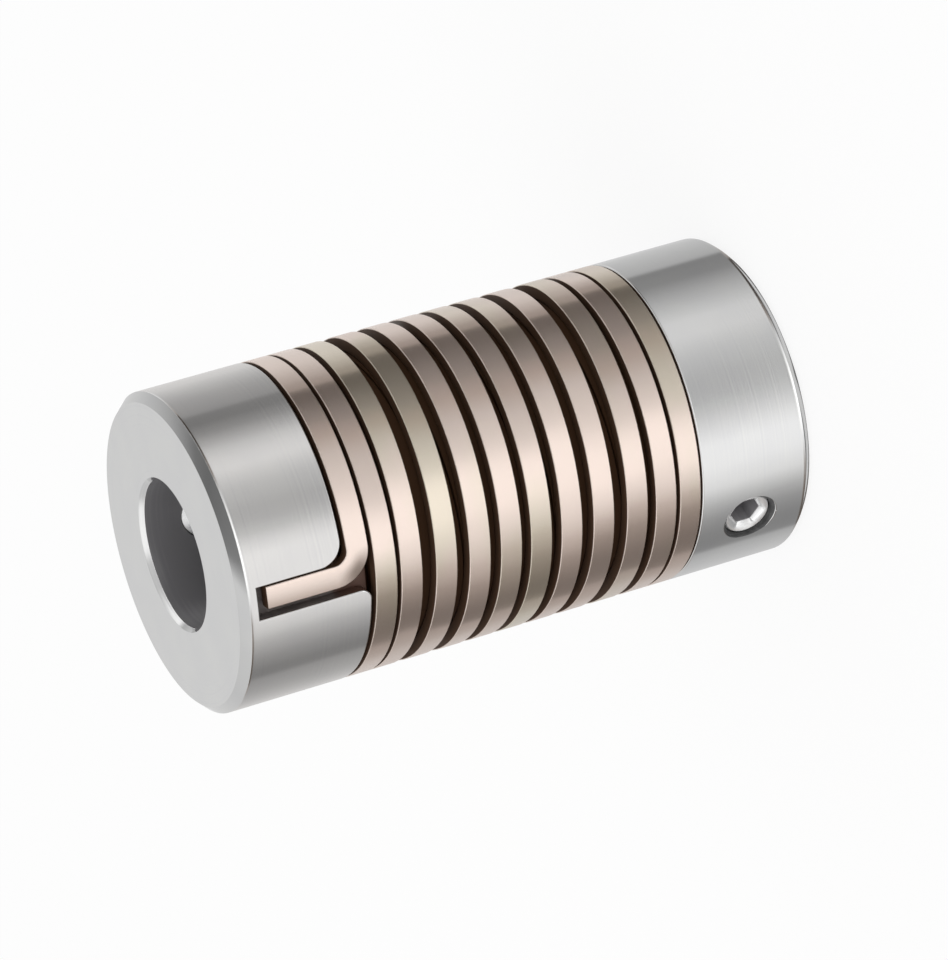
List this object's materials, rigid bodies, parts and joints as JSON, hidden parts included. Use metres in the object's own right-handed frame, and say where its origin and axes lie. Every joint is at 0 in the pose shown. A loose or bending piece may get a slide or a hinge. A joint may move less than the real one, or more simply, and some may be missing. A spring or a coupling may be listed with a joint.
{
  "type": "wound spring shaft coupling",
  "caption": "Flexible shaft coupling: bored hubs with radial set screws, joined by layered flat wire springs; the outer one is left-hand, its bent tangs sit in slots in the hubs.",
  "frame": {"origin": "centre of the lower hub's outer end face, on the shaft axis; the coupling stands on that face", "axes": "+Z along the shaft axis from the lower hub to the upper hub; -Y is the side that shows the upper hub's slot and the lower hub's set screw"},
  "size_m": [0.026, 0.026, 0.05],
  "materials": {
    "hub": "satin, bright plated steel, turned",
    "spring": "satin bronze-toned flat spring wire, drawn along its length",
    "set_screw": "bright steel"
  },
  "bodies": {
    "root": {"bottom_hub": "hub", "top_hub": "hub", "outer_spring": "spring", "middle_spring": "spring", "inner_spring": "spring", "bottom_set_screw": "set_screw", "top_set_screw": "set_screw"}
  },
  "joints": []
}
